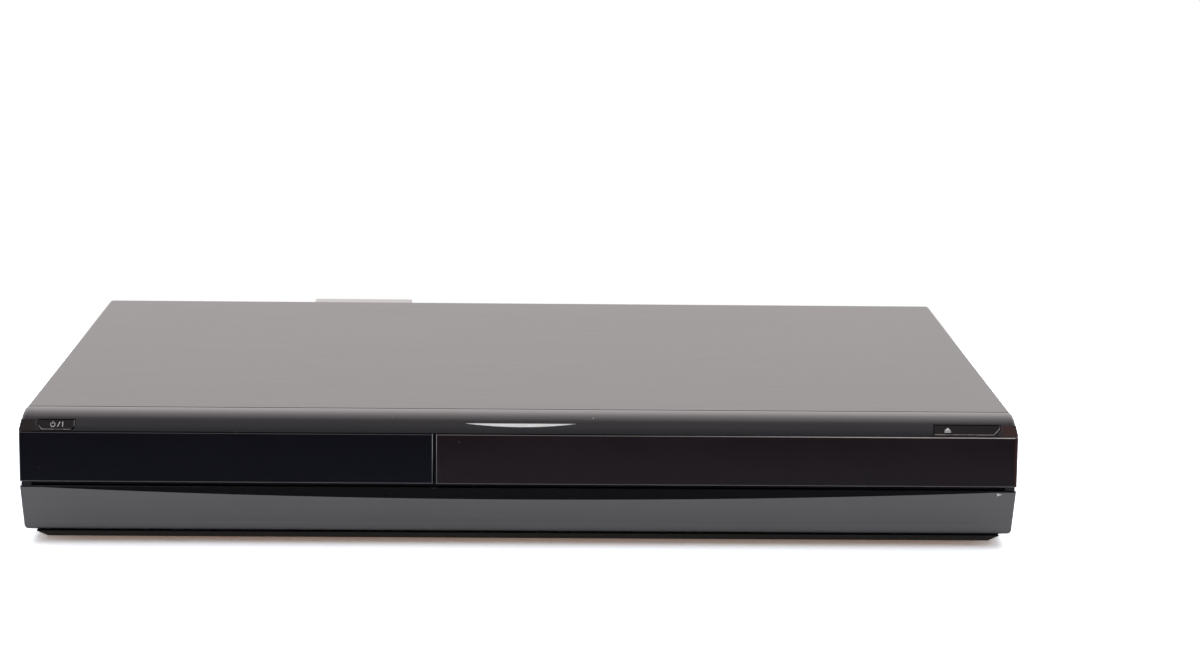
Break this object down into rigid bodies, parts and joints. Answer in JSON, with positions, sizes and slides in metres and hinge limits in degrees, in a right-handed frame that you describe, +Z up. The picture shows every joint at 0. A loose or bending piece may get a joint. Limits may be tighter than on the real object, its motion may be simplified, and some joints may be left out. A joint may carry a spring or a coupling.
{
  "type": "dvd recorder",
  "caption": "Slim black and grey disc recorder with a sliding disc tray, a fold-down front flap, a convex upper bezel and a sheet metal cover, complete inside.",
  "frame": {"origin": "on the surface that the recorder stands on, under the middle of its outer box, fan hood included", "axes": "+X to the right seen from the front, +Y towards the rear, +Z up"},
  "size_m": [0.43, 0.299, 0.059],
  "materials": {
    "cover_paint": "fine satin paint, dark warm grey",
    "moulding": "glossy near-black moulded plastic",
    "door_gloss": "piano-black gloss",
    "window": "smoked acrylic, slightly brown",
    "flap": "dark grey gloss plastic",
    "light_guide": "milky translucent plastic",
    "zinc_steel": "zinc-coated sheet steel",
    "bright_steel": "nickel-plated steel",
    "aluminium": "cast or extruded aluminium",
    "rubber": "matt black rubber",
    "black_plastic": "fine-grained black plastic",
    "grey_plastic": "light grey plastic",
    "circuit_board": "green solder resist",
    "winding": "enamelled copper",
    "glass": "clear glass"
  },
  "bodies": {
    "case": {"front_panel": "moulding", "display_window": "window", "display_module": "glass", "button_board": "circuit_board", "indicator_lens": "light_guide", "front_jack_block": "black_plastic", "usb_socket": "bright_steel", "top_cover": "cover_paint", "bottom_chassis": "zinc_steel", "rear_panel": "zinc_steel", "foot_front_left": "rubber", "foot_rear_left": "rubber", "foot_front_right": "rubber", "foot_rear_right": "rubber", "cover_screw_front_left": "bright_steel", "cover_screw_rear_left": "bright_steel", "cover_screw_front_right": "bright_steel", "cover_screw_rear_right": "bright_steel", "drive_base": "black_plastic", "drive_top_plate": "zinc_steel", "loading_motor": "bright_steel", "hard_disk": "aluminium", "hard_disk_bracket": "zinc_steel", "front_jack_board": "circuit_board", "power_board": "circuit_board", "main_board": "circuit_board", "processor_heatsink": "aluminium", "power_transformer": "winding", "power_capacitor": "black_plastic", "tuner_module": "bright_steel", "fan_frame": "black_plastic", "fan_hood": "grey_plastic", "mains_inlet": "black_plastic", "av_socket_lower": "black_plastic", "av_socket_upper": "black_plastic", "rear_jack_block": "black_plastic", "digital_video_socket": "bright_steel"},
    "tray": {"disc_tray": "black_plastic", "tray_fascia": "door_gloss"},
    "flap": {"front_flap": "flap"},
    "power_key": {"power_button": "moulding"},
    "open_close_key": {"open_close_button": "moulding"},
    "channel_down_key": {"channel_down_button": "black_plastic"},
    "channel_up_key": {"channel_up_button": "black_plastic"},
    "stop_key": {"stop_button": "black_plastic"},
    "play_key": {"play_button": "black_plastic"},
    "record_key": {"record_button": "black_plastic"},
    "traverse": {"traverse_frame": "zinc_steel", "spindle_motor": "bright_steel", "guide_rod_left": "bright_steel", "guide_rod_right": "bright_steel", "sled_motor": "bright_steel"},
    "spindle": {"turntable": "black_plastic"},
    "pickup": {"pickup_sled": "black_plastic", "pickup_lens": "glass"},
    "screw": {"lead_screw": "bright_steel"},
    "clamp": {"clamp_puck": "black_plastic"},
    "gear": {"loading_gear": "grey_plastic"},
    "fan": {"fan_rotor": "black_plastic"}
  },
  "joints": [
    {"name": "tray_slide", "type": "slide", "parent": "case", "child": "tray", "axis": [0, -1, 0], "range_m": [0, 0.14]},
    {"name": "flap_hinge", "type": "hinge", "parent": "case", "child": "flap", "pos_m": [0, -0.1438, 0.0085], "axis": [1, 0, 0], "range_deg": [0, 90]},
    {"name": "power_press", "type": "slide", "parent": "case", "child": "power_key", "axis": [0, 1, 0], "range_m": [0, 0.0008], "stiffness_N_per_m": 400},
    {"name": "open_close_press", "type": "slide", "parent": "case", "child": "open_close_key", "axis": [0, 1, 0], "range_m": [0, 0.0008], "stiffness_N_per_m": 400},
    {"name": "channel_down_press", "type": "slide", "parent": "case", "child": "channel_down_key", "axis": [0, 1, 0], "range_m": [0, 0.0008], "stiffness_N_per_m": 400},
    {"name": "channel_up_press", "type": "slide", "parent": "case", "child": "channel_up_key", "axis": [0, 1, 0], "range_m": [0, 0.0008], "stiffness_N_per_m": 400},
    {"name": "stop_press", "type": "slide", "parent": "case", "child": "stop_key", "axis": [0, 1, 0], "range_m": [0, 0.0008], "stiffness_N_per_m": 400},
    {"name": "play_press", "type": "slide", "parent": "case", "child": "play_key", "axis": [0, 1, 0], "range_m": [0, 0.0008], "stiffness_N_per_m": 400},
    {"name": "record_press", "type": "slide", "parent": "case", "child": "record_key", "axis": [0, 1, 0], "range_m": [0, 0.0008], "stiffness_N_per_m": 400},
    {"name": "traverse_tilt", "type": "hinge", "parent": "case", "child": "traverse", "pos_m": [-0.12635, 0.0209, 0.0215], "axis": [1, 0, 0], "range_deg": [0, 3]},
    {"name": "turntable_spin", "type": "hinge", "parent": "traverse", "child": "spindle", "pos_m": [-0.12635, -0.0741, 0.035], "axis": [0, 0, 1], "continuous": true},
    {"name": "sled_slide", "type": "slide", "parent": "traverse", "child": "pickup", "axis": [0, 1, 0], "range_m": [0, 0.036]},
    {"name": "lead_screw_turn", "type": "hinge", "parent": "traverse", "child": "screw", "pos_m": [-0.09435, -0.03, 0.029], "axis": [0, 1, 0], "range_deg": [0, 4330]},
    {"name": "clamp_spin", "type": "hinge", "parent": "case", "child": "clamp", "pos_m": [-0.12635, -0.0741, 0.047], "axis": [0, 0, 1], "continuous": true},
    {"name": "loading_gear_turn", "type": "hinge", "parent": "case", "child": "gear", "pos_m": [-0.07585, -0.1055, 0.034], "axis": [0, 0, 1], "range_deg": [-860, 0]},
    {"name": "fan_spin", "type": "hinge", "parent": "case", "child": "fan", "pos_m": [-0.082, 0.13, 0.0324], "axis": [0, 1, 0], "continuous": true}
  ],
  "couplings": [
    {"joint": "lead_screw_turn", "follows": "sled_slide", "rad_per_m": 2094.4},
    {"joint": "clamp_spin", "follows": "turntable_spin", "ratio": 1},
    {"joint": "loading_gear_turn", "follows": "tray_slide", "rad_per_m": -105.26}
  ]
}
